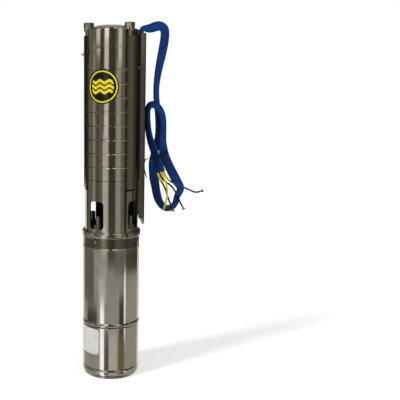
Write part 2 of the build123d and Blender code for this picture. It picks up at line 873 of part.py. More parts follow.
def discharge_head():
    body = revolve(head_outline(), Axis.Z)
    nut_room = strap_nut_flats / math.sqrt(3) + nut_recess_gap
    ledge_low = nut_seat - ledge_thickness
    pad = post(nut_pad_radius, ledge_low, nut_seat, strap_stud_circle)
    flat = post(nut_room, nut_seat, nut_seat + strap_nut_height, strap_stud_circle)
    hole = post(strap_stud_radius + hole_gap, ledge_low - overlap, nut_seat + overlap, strap_stud_circle)
    pocket = block(
        strap_block_inner - pocket_inner_gap, skin_radius + strap_thickness,
        strap_block_width + 2 * pocket_side_gap,
        head_low + pocket_floor_gap, ledge_low,
    )
    body += spread(pad, strap_count, strap_angle)
    for cut in (flat, hole, pocket):
        body -= spread(cut, strap_count, strap_angle)
    body += spider(
        guide_hub_radius, valve_stem_radius + running_gap, guide_low, guide_low + guide_height,
        guide_low + guide_rib_low, guide_low + guide_height - guide_rib_drop, guide_rib_count,
        guide_rib_width, head_passage_radius + guide_rib_bite,
    )
    return body - guard_screw_holes(*guard_high_screw, head_low)


# Straps and cable guard

def strap(angle):
    """A band with a hooked foot below and a welded stud block above."""
    half = strap_half_angle()
    foot_low = motor_face + strap_foot_rise
    outer = skin_radius + strap_thickness
    top = nut_seat + strap_nut_height
    block_low = nut_seat - strap_block_drop
    band_top = nut_seat - strap_top_drop
    body = sector(skin_radius, outer, half, foot_low, band_top)
    foot_half = strap_half_angle(-strap_foot_side_gap)
    body += sector(
        skin_radius - strap_foot_reach, skin_radius + strap_bite, foot_half,
        foot_low, foot_low + strap_thickness,
    )
    body += block(
        strap_block_inner, skin_radius + strap_bite, strap_block_width,
        block_low, block_low + strap_block_height,
    )
    body += post(strap_stud_radius, block_low + overlap, top - strap_stud_tip, strap_stud_circle)
    return Rot(0, 0, angle) * body


def strap_nuts():
    nut = hexagon(
        strap_nut_flats, nut_seat, nut_seat + strap_nut_height,
        strap_stud_radius + running_gap, strap_stud_circle,
    )
    nut = chamfer(nut.edges().group_by(Axis.Z)[-1].filter_by(GeomType.LINE), strap_nut_edge)
    return spread(nut, strap_count, strap_angle)


def guard_screw_places(half_angle, height, base):
    return [(guard_angle + side * half_angle, base + height) for side in (-1, 1)]


def guard_screw_holes(half_angle, height, base):
    """Holes for a pair of guard screws in whatever carries the guard."""
    hole = guard_screw_shank_radius + slip_gap
    inner = bowl_radius - guard_screw_bite - guard_screw_end_gap
    places = guard_screw_places(half_angle, height, base)
    return [spoke(hole, inner, guard_reach, level, angle) for angle, level in places]


def guard_screws():
    screws = []
    face = skin_radius + guard_sheet + guard_screw_lift
    for spot, base in ((guard_low_screw, valve_chamber_low), (guard_high_screw, head_low)):
        for angle, level in guard_screw_places(*spot, base):
            head = spoke(guard_screw_radius, face, face + guard_screw_head, level, angle)
            shank = spoke(
                guard_screw_shank_radius, bowl_radius - guard_screw_bite, face + overlap, level, angle
            )
            screws.append(head + shank)
    return screws


def guard_outline():
    """A round outline on the chambers with the hat standing out of it, all its bends rounded."""
    side = Rectangle(2 * guard_reach, guard_width, align=(Align.MIN, Align.CENTER))
    outline = Circle(skin_radius + guard_sheet) + (Circle(guard_reach) & side)
    half = guard_width / 2
    for radius, bend in ((skin_radius + guard_sheet, guard_foot_bend), (guard_reach, guard_crown_bend)):
        edge = math.sqrt(radius**2 - half**2)
        corners = [v for v in outline.vertices() if math.hypot(v.X - edge, abs(v.Y) - half) < slip_gap]
        outline = fillet(corners, bend)
    return outline


def wedge(half_angle, reach):
    """A flat pie slice about the X axis."""
    a = math.radians(half_angle)
    far = (reach * math.cos(a), reach * math.sin(a))
    return make_face(Polyline((0, 0), (far[0], -far[1]), (2 * reach, 0), far, close=True).edges())


def cable_guard():
    """A pressed hat section over the lead: flanges on the chambers, a bare hat and a round tongue below."""
    foot = motor_face + guard_foot_rise
    flange_top = nut_seat - guard_flange_top_drop
    outline = guard_outline()
    section = (outline - offset(outline, -guard_sheet)) & wedge(guard_half_span, guard_reach)
    hat = section & Rectangle(2 * guard_reach, guard_width, align=(Align.MIN, Align.CENTER))
    body = Pos(0, 0, first_stage) * extrude(section, flange_top - first_stage)
    body += Pos(0, 0, foot) * extrude(hat, first_stage - foot)
    body -= block(
        skin_radius + guard_sheet, guard_reach + overlap, guard_width + overlap,
        guard_top, flange_top + overlap,
    )
    tongue = Pos(0, 0, foot - guard_tongue) * extrude(hat, guard_tongue + overlap)
    tongue &= block(
        guard_reach - guard_tongue_depth, guard_reach + overlap, guard_width,
        foot - guard_tongue, foot + overlap,
    )
    tongue &= Pos(0, 0, foot) * extrude(Plane.YZ * Ellipse(guard_width / 2, guard_tongue), 2 * guard_reach)
    body = Rot(0, 0, guard_angle) * (body + tongue)
    hole = guard_screw_shank_radius + guard_hole_gap
    for spot, base in ((guard_low_screw, valve_chamber_low), (guard_high_screw, head_low)):
        for angle, level in guard_screw_places(*spot, base):
            body -= spoke(hole, skin_radius - overlap, skin_radius + guard_sheet + overlap, level, angle)
    return body


# Lead

def guarded_lead():
    """The flat lead from the plug's boot, out through the slot and up the guard's channel."""
    start = suction_floor + plug_boot_rise + plug_boot_height
    turn_low, turn_high = lead_turn_levels()
    end = nut_seat - lead_end_drop
    path = FilletPolyline(
        (plug_circle_radius, 0, start), (plug_circle_radius, 0, turn_low),
        (lead_channel_radius, 0, turn_high), (lead_channel_radius, 0, end),
        radius=[lead_bend, lead_bend],
    )
    section = Pos(plug_circle_radius, 0, start) * RectangleRounded(
        lead_thickness, lead_width, (lead_thickness - lead_edge_flat) / 2
    )
    return Rot(0, 0, guard_angle) * sweep(section, path)


def seen(across, toward, height):
    """A point given across the view, towards the viewer and up, turned into the pump's frame."""
    a = math.radians(view_angle)
    return (
        toward * math.cos(a) - across * math.sin(a),
        toward * math.sin(a) + across * math.cos(a),
        height,
    )


def cord_tube(name, points, radius):
    """A round tube along straight runs joined by arcs as large as the runs allow."""
    places = [Vector(*seen(*p)) for p in points]
    runs = [b - a for a, b in zip(places, places[1:])]
    radii = []
    for before, after in zip(runs, runs[1:]):
        turn = math.radians(before.get_angle(after))
        radii.append(0.45 * min(before.length, after.length) / math.tan(turn / 2))
    path = FilletPolyline(*places, radius=radii)
    tube = sweep(Plane(path @ 0, z_dir=path % 0) * Circle(radius), path)
    share = tube.volume / (math.pi * radius**2 * path.length)
    print(name, "radii", [round(r, 1) for r in radii])
    print(name, "length", round(path.length, 1), "volume to section times length", round(share, 4))
    return tube


free_lead_points = [
    (47.9, -12.2, 576.0),
    (48.4, -12.3, 583.5),
    (54.5, -13.4, 589.0),
    (66.0, -15.3, 590.5),
    (78.0, -17.5, 588.0),
    (86.5, -19.3, 581.5),
    (88.3, -20.0, 571.0),
    (85.0, -20.0, 552.0),
    (80.0, -20.0, 531.0),
    (76.0, -20.0, 509.0),
    (74.2, -20.0, 488.0),
    (74.2, -20.0, 468.0),
]

hank_outline = [
    (57, 462), (62, 468), (82, 468), (89, 447), (95, 425), (93, 389), (104, 362), (129, 315),
    (117, 303), (118, 288), (111, 277), (98, 271.5), (84, 276), (72, 290), (66, 305), (62, 345),
    (57, 390), (55.5, 430),
]

jacket_back = (70.0, 388.0)
jacket_end = (83.0, 346.5)
core_plane = -9.0
core_spacing = 3.6
core_lead_in = 9.0

# Where each core goes after its first straight run, left to right across the jacket's cut end
core_routes = {
    "brown": [
        (86.5, -10.0, 327.5), (92.3, -10.0, 316.0), (95.6, -10.0, 304.5), (99.6, -9.5, 294.0),
        (103.5, -9.0, 284.5),
    ],
    "black": [
        (90.0, -13.0, 330.0), (98.5, -18.5, 325.0), (107.0, -22.0, 316.0), (113.5, -23.0, 304.5),
        (117.8, -22.5, 293.0), (122.0, -21.0, 286.0),
    ],
    "yellow": [
        (92.2, -7.4, 329.5), (94.6, -6.2, 316.5), (94.6, -6.2, 304.5), (92.0, -7.0, 293.0),
        (88.7, -8.0, 282.0),
    ],
    "blue": [
        (98.5, -9.0, 331.0), (109.0, -9.0, 326.0), (121.5, -9.0, 321.0), (134.0, -9.0, 315.5),
        (144.0, -9.0, 311.2), (152.0, -9.0, 314.0),
    ],
}


def hank_plane(toward):
    """The upright plane of the hank, facing the viewer, at a distance towards them."""
    return Plane(origin=seen(0, toward, 0), x_dir=Vector(*seen(1, 0, 0)), z_dir=Vector(*seen(0, 1, 0)))


def lead_hank():
    """The hanging loop as one closed body, with the lead's cut end lying on its front."""
    back = core_plane - hank_setback - hank_thickness
    outline = make_face(Polyline(*hank_outline, close=True).edges())
    plate = extrude(hank_plane(back) * outline, hank_thickness)
    run = Vector(jacket_end[0] - jacket_back[0], jacket_end[1] - jacket_back[1])
    tilt = math.degrees(math.atan2(run.Y, run.X))
    middle = ((jacket_end[0] + jacket_back[0]) / 2, (jacket_end[1] + jacket_back[1]) / 2)
    strip = Pos(*middle) * Rot(0, 0, tilt) * Rectangle(run.length, lead_width)
    end_back = core_plane - hank_setback - jacket_bite
    end = extrude(hank_plane(end_back) * strip, core_plane + jacket_front - end_back)
    return plate + end


def core_tube(name):
    """One core, which leaves the cut end square to it and then takes its own way."""
    run = Vector(jacket_end[0] - jacket_back[0], jacket_end[1] - jacket_back[1]).normalized()
    place = list(core_routes).index(name) - (len(core_routes) - 1) / 2
    start = (jacket_end[0] - run.Y * place * core_spacing, jacket_end[1] + run.X * place * core_spacing)
    turn = (start[0] + run.X * core_lead_in, start[1] + run.Y * core_lead_in)
    points = [(start[0], core_plane, start[1]), (turn[0], core_plane, turn[1])] + core_routes[name]
    return cord_tube(name + " core", points, core_radius)


def write(name, shape):
    solids = shape if isinstance(shape, list) else [shape]
    whole = Compound([s for item in solids for s in item.solids()])
    export_step(whole, "parts/" + name + ".step")


def main():
    os.makedirs("parts", exist_ok=True)
    write("base_cap", base_cap())
    write("diaphragm", diaphragm())
    write("lower_shell", shell(lower_shell_low, joint_ring_low))
    write("lower_bearing_housing", lower_bearing_housing())
    write("thrust_plate", thrust_plate())
    write("thrust_pads", thrust_pads())
    write("motor_bearings", motor_bearings())
    write("shell_joint_ring", joint_ring())
    write("stator_shell", shell(stator_shell_low, stator_shell_high))
    write("stator_core", stator_core())
    write("stator_windings", stator_windings())
    write("motor_top_bell", motor_top_bell())
    write("bell_screws", bell_screws())
    write("shaft_seal", shaft_seal())
    write("motor_studs", motor_studs())
    write("motor_nuts", motor_nuts())
    write("lead_plug", lead_plug())
    write("motor_shaft", motor_shaft())
    write("thrust_disc", thrust_disc())
    write("rotor_core", rotor_core())
    write("sand_slinger", sand_slinger())
    write("suction_interconnector", suction_interconnector())
    write("coupling", coupling())
    write("pump_shaft", pump_shaft())
    for index in range(stage_count):
        write("stage_bowl_" + str(index + 1), stage_bowl(index))
        write("impeller_" + str(index + 1), impeller(index))
    write("wear_rings", wear_rings())
    write("impeller_nut", impeller_nut())
    write("valve_chamber", valve_chamber() - guard_screw_holes(*guard_low_screw, valve_chamber_low))
    write("top_bearing", top_bearing())
    write("valve_seat", valve_seat())
    write("valve_disc", valve_disc())
    write("discharge_head", discharge_head())
    for index in range(strap_count):
        write("strap_" + str(index + 1), strap(strap_angle + 360 * index / strap_count))
    write("strap_nuts", strap_nuts())
    write("cable_guard", cable_guard())
    write("guard_screws", guard_screws())
    write("guarded_lead", guarded_lead())
    write("free_lead", cord_tube("free lead", free_lead_points, free_lead_radius))
    write("lead_hank", lead_hank())
    for name in core_routes:
        write("core_" + name, core_tube(name))


main()
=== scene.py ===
import json
import math

import bpy
import bmesh
import numpy as np
from mathutils import Matrix

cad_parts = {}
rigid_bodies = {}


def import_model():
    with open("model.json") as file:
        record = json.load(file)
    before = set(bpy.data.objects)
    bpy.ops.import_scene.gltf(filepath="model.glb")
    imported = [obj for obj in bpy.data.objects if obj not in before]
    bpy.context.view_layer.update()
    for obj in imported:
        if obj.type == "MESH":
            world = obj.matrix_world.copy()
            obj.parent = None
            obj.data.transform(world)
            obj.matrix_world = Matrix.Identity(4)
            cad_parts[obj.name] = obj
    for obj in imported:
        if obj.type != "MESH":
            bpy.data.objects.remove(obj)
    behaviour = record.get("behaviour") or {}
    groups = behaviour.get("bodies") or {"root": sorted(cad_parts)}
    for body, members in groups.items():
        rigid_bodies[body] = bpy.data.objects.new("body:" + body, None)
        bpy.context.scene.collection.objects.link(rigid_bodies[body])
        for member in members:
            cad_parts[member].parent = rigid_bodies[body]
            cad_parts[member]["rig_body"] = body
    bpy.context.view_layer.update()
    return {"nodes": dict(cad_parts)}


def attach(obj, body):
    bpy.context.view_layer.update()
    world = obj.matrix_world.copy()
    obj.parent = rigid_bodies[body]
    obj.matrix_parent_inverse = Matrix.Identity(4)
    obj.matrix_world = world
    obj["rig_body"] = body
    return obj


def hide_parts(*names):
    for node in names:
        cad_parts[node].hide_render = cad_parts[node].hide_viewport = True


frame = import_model()
nodes = frame["nodes"]

# The pump stands on its base at the origin, and its axis is Z. Sizes are in metres unless a name says mm.
mm = 0.001

# The photograph's viewpoint: its direction from the pump, distance from the axis, height and tilt
view_angle = math.radians(-55.5)
view_distance = 1.185
view_height = 0.483
view_pitch = math.radians(8.8)
view_roll = math.radians(0.28)
view_lens = 63.9
view_shift = 0.2215

bowl_radius = 44.6 * mm
edge_break = 0.5 * mm      # of the chambers
motor_radius = 48.0 * mm
first_stage = 336.0 * mm
stage_pitch = 22.4 * mm
valve_chamber_high = 548.0 * mm
bell_low = 224.5 * mm
strap_slot_low = 321.6 * mm
strap_slot_play = 2.4 * mm
lead_shade_top = 325.0 * mm      # below this height the lead's colour is painted near black as shade

toward = np.array([math.cos(view_angle), math.sin(view_angle), 0.0])
across = np.array([-math.sin(view_angle), math.cos(view_angle), 0.0])
up = np.array([0.0, 0.0, 1.0])


def seen(places):
    """Points given in mm across the view, towards the viewer and up, in the pump's frame in metres."""
    places = np.asarray(places, dtype=float) * mm
    return places[:, 0:1] * across + places[:, 1:2] * toward + places[:, 2:3] * up


def place_camera():
    """The camera looks level with the upper stages and tips down by the pitch, then rolls a little."""
    forward = -toward * math.cos(view_pitch) - up * math.sin(view_pitch)
    level_up = -toward * math.sin(view_pitch) + up * math.cos(view_pitch)
    right = across * math.cos(view_roll) + level_up * math.sin(view_roll)
    top = -across * math.sin(view_roll) + level_up * math.cos(view_roll)
    eye = toward * view_distance + up * view_height
    data = bpy.data.cameras.new("camera")
    data.lens = view_lens
    data.sensor_width = 36.0
    data.shift_x = view_shift
    data.clip_end = 50.0
    camera = bpy.data.objects.new("camera", data)
    bpy.context.scene.collection.objects.link(camera)
    axes = np.column_stack([right, top, -forward, eye])
    camera.matrix_world = Matrix([list(row) for row in axes] + [[0, 0, 0, 1]])
    bpy.context.scene.camera = camera


place_camera()


# Nodes and colours

def linear(code):
    """An sRGB hex colour as the linear colour that a shader takes."""
    channels = [int(code[i:i + 2], 16) / 255 for i in (0, 2, 4)]
    return [c / 12.92 if c <= 0.04045 else ((c + 0.055) / 1.055) ** 2.4 for c in channels] + [1.0]


def node(tree, kind, inputs=None, **settings):
    """Adds a node with its settings; an input is a value or another node's socket."""
    made = tree.nodes.new(kind)
    for name, value in settings.items():
        setattr(made, name, value)
    for name, value in (inputs or {}).items():
        socket = made.inputs[name]
        if isinstance(value, bpy.types.NodeSocket):
            tree.links.new(value, socket)
        else:
            socket.default_value = value
    return made


def ramp(tree, factor, stops):
    """A colour ramp over a factor, from (place, hex) stops."""
    made = node(tree, "ShaderNodeValToRGB", {"Fac": factor})
    band = made.color_ramp
    band.elements[0].position, band.elements[1].position = stops[0][0], stops[-1][0]
    band.elements[0].color, band.elements[1].color = linear(stops[0][1]), linear(stops[-1][1])
    for place, code in stops[1:-1]:
        band.elements.new(place).color = linear(code)
    return made.outputs["Color"]


def surface(name, **shader):
    """A material with one principled shader; returns it with its tree and shader node."""
    made = bpy.data.materials.new(name)
    made.use_nodes = True
    tree = made.node_tree
    tree.nodes.clear()
    principled = node(tree, "ShaderNodeBsdfPrincipled", shader)
    output = node(tree, "ShaderNodeOutputMaterial")
    tree.links.new(principled.outputs["BSDF"], output.inputs["Surface"])
    return made, tree, principled


def stretched(tree, scale):
    """Object coordinates stretched by a scale along each axis."""
    place = node(tree, "ShaderNodeTexCoord").outputs["Object"]
    return node(tree, "ShaderNodeMapping", {"Vector": place, "Scale": scale}).outputs["Vector"]


def bump(tree, principled, height, depth):
    """A bump of the given depth in metres."""
    made = node(tree, "ShaderNodeBump", {"Height": height, "Distance": depth, "Strength": 1.0})
    tree.links.new(made.outputs["Normal"], principled.inputs["Normal"])


def noise(tree, vector, detail=2.0, roughness=0.5):
    """Noise with lumps one unit of the vector wide."""
    made = node(tree, "ShaderNodeTexNoise", {
        "Vector": vector, "Scale": 1.0, "Detail": detail, "Roughness": roughness,
    })
    return made.outputs["Fac"]


def math_node(tree, operation, first, second=None, third=None):
    """One step of arithmetic on values or sockets."""
    made = node(tree, "ShaderNodeMath", operation=operation)
    for socket, value in zip(made.inputs, (first, second, third)):
        if isinstance(value, bpy.types.NodeSocket):
            tree.links.new(value, socket)
        elif value is not None:
            socket.default_value = value
    return made.outputs["Value"]


def length_node(tree, vector):
    """The vector's length."""
    return node(tree, "ShaderNodeVectorMath", {"Vector": vector}, operation="LENGTH").outputs["Value"]


# Materials

def polished_stainless(name, tint, gloss, wave_depth, shade_within=None):
    """Rolled stainless sheet, buffed bright: a mirror with soft upright waves and faint rings of buffing.

    Nearer the pump's axis than the given radius it is duller, like a raw casting, and its colour is a painted
    shade, near black.
    """
    made, tree, metal = surface(name, **{"Metallic": 1.0, "Roughness": gloss})
    # Buffing rings are about 0.3 mm apart; they are drawn 2 mm apart so that they show.
    rings = noise(tree, stretched(tree, (4.0, 4.0, 500.0)), detail=3.0)
    waves = noise(tree, stretched(tree, (26.0, 26.0, 9.0)), detail=1.0)
    drawn = noise(tree, stretched(tree, (150.0, 150.0, 6.0)), detail=2.0)
    cloud = noise(tree, stretched(tree, (60.0, 60.0, 60.0)), detail=4.0)
    shade = ramp(tree, cloud, [(0.3, tint[0]), (0.7, tint[1])])
    rough = node(tree, "ShaderNodeMapRange", {
        "Value": rings, "To Min": gloss * 0.75, "To Max": gloss * 1.5,
    }).outputs["Result"]
    if shade_within:
        # Painted shade: inside the given radius the colour turns near black in place of shade; the roughness
        # rises as for a raw casting.
        shade_inside = math_node(tree, "LESS_THAN", length_node(tree, stretched(tree, (1.0, 1.0, 0.0))), shade_within)
        mixed = node(tree, "ShaderNodeMixRGB", {"Fac": shade_inside, "Color1": shade, "Color2": linear("1c1b18")})
        shade = mixed.outputs["Color"]
        rough = math_node(tree, "MULTIPLY_ADD", shade_inside, 0.4, rough)
    tree.links.new(shade, metal.inputs["Base Color"])
    tree.links.new(rough, metal.inputs["Roughness"])
    relief = math_node(tree, "MULTIPLY_ADD", drawn, 0.3, waves)
    bump(tree, metal, math_node(tree, "MULTIPLY_ADD", rings, 0.02, relief), wave_depth)
    return made


def cast_steel():
    """Cast and turned steel, left dull between its machined faces."""
    made, tree, metal = surface("turned_cast_steel", **{"Metallic": 1.0, "Roughness": 0.34})
    grain = noise(tree, stretched(tree, (900.0, 900.0, 900.0)), detail=3.0)
    tree.links.new(ramp(tree, grain, [(0.3, "4a473f"), (0.7, "6b6759")]), metal.inputs["Base Color"])
    bump(tree, metal, grain, 0.06 * mm)
    return made


def plated_steel():
    """Nuts and screws: cold headed steel with a dull bright plating."""
    made, tree, metal = surface("plated_steel", **{"Metallic": 1.0, "Roughness": 0.3})
    grain = noise(tree, stretched(tree, (500.0, 500.0, 500.0)), detail=2.0)
    tree.links.new(ramp(tree, grain, [(0.3, "8f8d88"), (0.7, "b9b7b1")]), metal.inputs["Base Color"])
    bump(tree, metal, grain, 0.05 * mm)
    return made


def ground_steel():
    """Shafts and the valve disc: centreless ground, with fine rings."""
    made, tree, metal = surface("ground_steel", **{"Metallic": 1.0, "Roughness": 0.22})
    rings = noise(tree, stretched(tree, (5.0, 5.0, 1500.0)), detail=2.0)
    tree.links.new(ramp(tree, rings, [(0.3, "a5a4a0"), (0.7, "c6c5c0")]), metal.inputs["Base Color"])
    bump(tree, metal, rings, 0.03 * mm)
    return made


def stacked_laminations():
    """Electrical sheet, 0.5 mm thick, stacked and oiled: fine dark rings."""
    made, tree, metal = surface("stacked_laminations", **{"Metallic": 0.9, "Roughness": 0.45})
    wave = node(tree, "ShaderNodeTexWave", {
        "Vector": stretched(tree, (1.0, 1.0, 1.0)), "Scale": 2 * math.pi / (20 * 0.5 * mm),
    }, bands_direction="Z").outputs["Fac"]
    tree.links.new(ramp(tree, wave, [(0.2, "2a2a2c"), (0.8, "5c5c60")]), metal.inputs["Base Color"])
    bump(tree, metal, wave, 0.05 * mm)
    return made


def enamelled_copper():
    """Winding wire, 1 mm thick, enamelled and dipped in varnish."""
    made, tree, metal = surface("enamelled_copper", **{"Metallic": 0.7, "Roughness": 0.3})
    wave = node(tree, "ShaderNodeTexWave", {
        "Vector": stretched(tree, (1.0, 1.0, 1.0)), "Scale": 2 * math.pi / (20 * 1.0 * mm), "Distortion": 2.0,
    }, bands_direction="Z").outputs["Fac"]
    tree.links.new(ramp(tree, wave, [(0.2, "5a2a12"), (0.8, "b5653a")]), metal.inputs["Base Color"])
    bump(tree, metal, wave, 0.2 * mm)
    return made


def moulded(name, dark, light, roughness):
    """Moulded, lapped or phosphated black goods: an even colour with a grain 0.8 mm wide."""
    made, tree, plastic = surface(name, **{"Roughness": roughness})
    grain = noise(tree, stretched(tree, (1 / (0.8 * mm),) * 3), detail=2.0)
    tree.links.new(ramp(tree, grain, [(0.3, dark), (0.7, light)]), plastic.inputs["Base Color"])
    bump(tree, plastic, grain, 0.03 * mm)
    return made


def extruded_sheath(name, dark, light, roughness, shade_height=None):
    """Extruded PVC: drawn lines along the length, with cloudy bloom and scuffs.

    Below the given height its colour is painted near black as shade, so the windows of the pump stay dark.
    """
    made, tree, plastic = surface(name, **{"Roughness": roughness, "Specular IOR Level": 0.2})
    uv = node(tree, "ShaderNodeTexCoord").outputs["UV"]
    drawn = noise(tree, node(tree, "ShaderNodeMapping", {
        "Vector": uv, "Scale": (14.0, 30.0, 1.0),
    }).outputs["Vector"], detail=3.0)
    bloom = noise(tree, stretched(tree, (90.0, 90.0, 90.0)), detail=4.0, roughness=0.65)
    mixed = math_node(tree, "MULTIPLY_ADD", drawn, 0.35, math_node(tree, "MULTIPLY", bloom, 0.65))
    shade = ramp(tree, mixed, [(0.32, dark), (0.68, light)])
    # Painted shade: below the given height the colour turns near black, standing in for the shade inside the
    # guard.
    if shade_height:
        in_shade = math_node(tree, "LESS_THAN", length_node(tree, stretched(tree, (0.0, 0.0, 1.0))), shade_height)
        shaded_colour = node(tree, "ShaderNodeMixRGB", {"Fac": in_shade, "Color1": shade, "Color2": linear("0b0b0c")})
        shade = shaded_colour.outputs["Color"]
    tree.links.new(shade, plastic.inputs["Base Color"])
    rough = node(tree, "ShaderNodeMapRange", {
        "Value": bloom, "From Min": 0.3, "From Max": 0.7,
        "To Min": roughness * 0.8, "To Max": roughness * 1.3,
    }).outputs["Result"]
    tree.links.new(rough, plastic.inputs["Roughness"])
    bump(tree, plastic, mixed, 0.12 * mm)
    return made


def bare_copper():
    """Stranded copper, bright where it was stripped."""
    made, tree, metal = surface("bare_copper", **{"Metallic": 1.0, "Roughness": 0.32})
    cloud = noise(tree, stretched(tree, (700.0, 700.0, 700.0)))
    tree.links.new(ramp(tree, cloud, [(0.3, "7d5847"), (0.7, "c09a84")]), metal.inputs["Base Color"])
    return made


materials = {
    "shell": polished_stainless("buffed_stainless_tube", ("cbcac6", "d9d7d3"), 0.11, 0.16 * mm),
    "sheet": polished_stainless("buffed_stainless_chambers", ("cac8c3", "d8d5cf"), 0.10, 0.20 * mm),
    "casting": polished_stainless("machined_stainless_casting", ("cac8c3", "d7d4ce"), 0.12, 0.14 * mm),
    # The inside of the suction casting and of the bell is painted near black as shade.
    "suction": polished_stainless(
        "machined_suction_casting", ("cac8c3", "d7d4ce"), 0.12, 0.14 * mm, shade_within=bowl_radius - 0.3 * mm
    ),
    "bell": polished_stainless(
        "turned_bell_casting", ("858074", "979185"), 0.16, 0.10 * mm, shade_within=motor_radius - 1.0 * mm
    ),
    "strip": polished_stainless("stainless_strip", ("b3aea3", "c1bcb1"), 0.17, 0.10 * mm),
    "guard": polished_stainless("pressed_guard_sheet", ("73716c", "807e78"), 0.2, 0.12 * mm),
    "cast_steel": cast_steel(),
    "plated_steel": plated_steel(),
    "ground_steel": ground_steel(),
    "laminations": stacked_laminations(),
    "copper_winding": enamelled_copper(),
    "carbon": moulded("lapped_carbon", "0c0c0d", "19191b", 0.35),
    "rubber": moulded("moulded_nitrile_rubber", "0d0d0d", "1a1a1a", 0.6),
    "nylon": moulded("black_nylon", "080808", "141414", 0.4),
    "phosphate": moulded("phosphated_steel", "0b0b0c", "151516", 0.5),
    "blue_sheath": extruded_sheath("blue_pvc_sheath", "082a5a", "0e4086", 0.4),
    # The lead inside the guard, painted near black below a height as shade.
    "shaded_sheath": extruded_sheath("blue_pvc_sheath_painted_shade", "082a5a", "0e4086", 0.4, shade_height=lead_shade_top),
    "yellow_core": extruded_sheath("yellow_pvc_core", "c9ac08", "ecd81a", 0.4),
    "brown_core": extruded_sheath("brown_pvc_core", "281a12", "3d2a1f", 0.4),
    "blue_core": extruded_sheath("blue_pvc_core", "16305f", "274d8c", 0.4),
    "black_core": extruded_sheath("black_pvc_core", "0a0a0c", "17171a", 0.4),
    "copper": bare_copper(),
}


# Meshes

def vertex_places(mesh):
    """All the vertices' places, as one flat array."""
    place = np.empty(len(mesh.vertices) * 3)
    mesh.vertices.foreach_get("co", place)
    return place


def make_piece(name, vertices, faces, material, smooth=True, uv=None):
    """A mesh object from arrays of vertices and faces, which rides on the standing body."""
    mesh = bpy.data.meshes.new(name)
    mesh.from_pydata(np.asarray(vertices).tolist(), [], [list(map(int, f)) for f in faces])
    mesh.polygons.foreach_set("use_smooth", np.full(len(mesh.polygons), smooth))
    if uv is not None:
        layer = mesh.uv_layers.new(name="UVMap")
        corner = np.empty(len(mesh.loops), dtype=np.int32)
        mesh.loops.foreach_get("vertex_index", corner)
        layer.data.foreach_set("uv", np.asarray(uv)[corner].ravel())
    mesh.materials.append(materials[material] if isinstance(material, str) else material)
    mesh.update()
    piece = bpy.data.objects.new(name, mesh)
    bpy.context.scene.collection.objects.link(piece)
    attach(piece, "root")
    return piece


def grid_faces(rows, columns, close_columns):
    """Quads of a grid of rows by columns, joined round when close_columns."""
    start = np.arange(rows - 1)[:, None] * columns
    column = np.arange(columns if close_columns else columns - 1)[None, :]
    after = (column + 1) % columns
    corners = [start + column, start + after, start + columns + after, start + columns + column]
    return np.stack(corners, axis=-1).reshape(-1, 4)


def smooth_line(points):
    """The line of an order 3 NURBS curve through its first and last control points, as an array."""
    curve = bpy.data.curves.new("route", "CURVE")
    curve.dimensions = "3D"
    curve.resolution_u = 12
    spline = curve.splines.new("NURBS")
    spline.points.add(len(points) - 1)
    for knot, place in zip(spline.points, points):
        knot.co = (*place, 1.0)
    spline.order_u = 3
    spline.use_endpoint_u = True
    holder = bpy.data.objects.new("route", curve)
    mesh = bpy.data.meshes.new_from_object(holder)
    line = vertex_places(mesh)
    bpy.data.objects.remove(holder)
    bpy.data.curves.remove(curve)
    bpy.data.meshes.remove(mesh)
    return line.reshape(-1, 3)


def unit(vectors):
    """Each vector divided by its length."""
    return vectors / np.linalg.norm(vectors, axis=-1, keepdims=True)


def carried(section, line, wide):
    """A section carried along a line: at each place, x of the section goes along wide, squared to the line,
    and y along the tangent crossed with it. Flat faces close the ends. Gives vertices, faces and UVs."""
    tangent = unit(np.gradient(line, axis=0))
    side = unit(wide - (wide * tangent).sum(axis=1, keepdims=True) * tangent)
    normal = np.cross(tangent, side)
    rings = line[:, None] + section[None, :, 0:1] * side[:, None] + section[None, :, 1:2] * normal[:, None]
    count = len(section)
    faces = [tuple(f) for f in grid_faces(len(line), count, True)]
    faces.append(tuple(range(count))[::-1])
    faces.append(tuple(range((len(line) - 1) * count, len(line) * count)))
    along = np.concatenate([[0.0], np.cumsum(np.linalg.norm(np.diff(line, axis=0), axis=1))])
    around = np.arange(count) / count
    uv = np.stack(np.meshgrid(along * 100, around, indexing="ij"), axis=-1).reshape(-1, 2)
    return rings.reshape(-1, 3), faces, uv


def closed_normals(piece):
    """Turns a closed mesh's faces outwards."""
    shape = bmesh.new()
    shape.from_mesh(piece.data)
    bmesh.ops.recalc_face_normals(shape, faces=shape.faces)
    shape.to_mesh(piece.data)
    shape.free()
    return piece


# The lead: out of the guard, over, down and round its hanging loop

free_lead_points = [
    (47.9, -12.2, 576.0),
    (48.2, -12.3, 580.4),
    (50.9, -12.6, 583.2),
    (56.0, -13.3, 583.3),
    (63.9, -14.5, 583.8),
    (71.7, -16.0, 587.5),
    (80.5, -18.0, 588.2),
    (86.9, -19.0, 583.4),
    (87.7, -20.0, 572.9),
    (86.2, -20.0, 560.7),
    (83.3, -20.0, 544.4),
    (80.2, -20.0, 529.7),
    (77.1, -20.0, 513.2),
    (74.7, -20.0, 495.1),
    (74.2, -21.0, 478.5),
]

